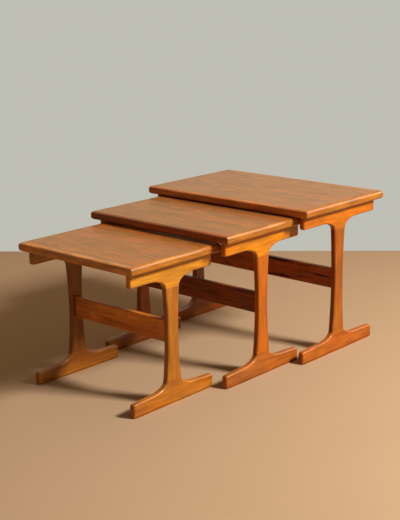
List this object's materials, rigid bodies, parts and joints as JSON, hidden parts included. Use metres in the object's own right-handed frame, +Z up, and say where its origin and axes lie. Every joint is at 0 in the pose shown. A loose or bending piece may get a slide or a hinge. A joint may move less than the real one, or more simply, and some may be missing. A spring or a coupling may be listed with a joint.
{
  "type": "nesting tables",
  "caption": "Nest of teak side tables with bullnosed tops, waisted legs on flat feet and a cross board; each smaller table slides under the next larger one.",
  "frame": {"origin": "on the floor, under the centre of the drawn-out nest's bounding box", "axes": "+Z up; +Y from the small table at the front to the large table at the back, which is the way the tables slide together; +X to the right when facing the nest from its small-table side"},
  "size_m": [0.614, 0.977, 0.4595],
  "materials": {
    "teak_top": "satin oiled veneer",
    "teak_lipping": "satin oiled solid lipping",
    "teak_frame": "satin oiled solid wood",
    "teak_stretcher": "satin oiled solid wood",
    "steel_screw": "plain zinc-plated steel"
  },
  "bodies": {
    "large_table": {"large_top_panel": "teak_top", "large_lip_front": "teak_lipping", "large_lip_back": "teak_lipping", "large_lip_left": "teak_lipping", "large_lip_right": "teak_lipping", "large_rail_left": "teak_frame", "large_leg_left": "teak_frame", "large_foot_left": "teak_frame", "large_rail_right": "teak_frame", "large_leg_right": "teak_frame", "large_foot_right": "teak_frame", "large_stretcher": "teak_stretcher", "large_screw_left_front": "steel_screw", "large_screw_left_back": "steel_screw", "large_screw_right_front": "steel_screw", "large_screw_right_back": "steel_screw"},
    "middle_table": {"middle_top_panel": "teak_top", "middle_lip_front": "teak_lipping", "middle_lip_back": "teak_lipping", "middle_lip_left": "teak_lipping", "middle_lip_right": "teak_lipping", "middle_rail_left": "teak_frame", "middle_leg_left": "teak_frame", "middle_foot_left": "teak_frame", "middle_rail_right": "teak_frame", "middle_leg_right": "teak_frame", "middle_foot_right": "teak_frame", "middle_stretcher": "teak_stretcher", "middle_screw_left_front": "steel_screw", "middle_screw_left_back": "steel_screw", "middle_screw_right_front": "steel_screw", "middle_screw_right_back": "steel_screw"},
    "small_table": {"small_top_panel": "teak_top", "small_lip_front": "teak_lipping", "small_lip_back": "teak_lipping", "small_lip_left": "teak_lipping", "small_lip_right": "teak_lipping", "small_rail_left": "teak_frame", "small_leg_left": "teak_frame", "small_foot_left": "teak_frame", "small_rail_right": "teak_frame", "small_leg_right": "teak_frame", "small_foot_right": "teak_frame", "small_stretcher": "teak_stretcher", "small_screw_left_front": "steel_screw", "small_screw_left_back": "steel_screw", "small_screw_right_front": "steel_screw", "small_screw_right_back": "steel_screw"}
  },
  "joints": [
    {"name": "middle_slide", "type": "slide", "parent": "large_table", "child": "middle_table", "axis": [0, 1, 0], "range_m": [-0.1, 0.271]},
    {"name": "small_slide", "type": "slide", "parent": "middle_table", "child": "small_table", "axis": [0, 1, 0], "range_m": [-0.08, 0.284]}
  ]
}
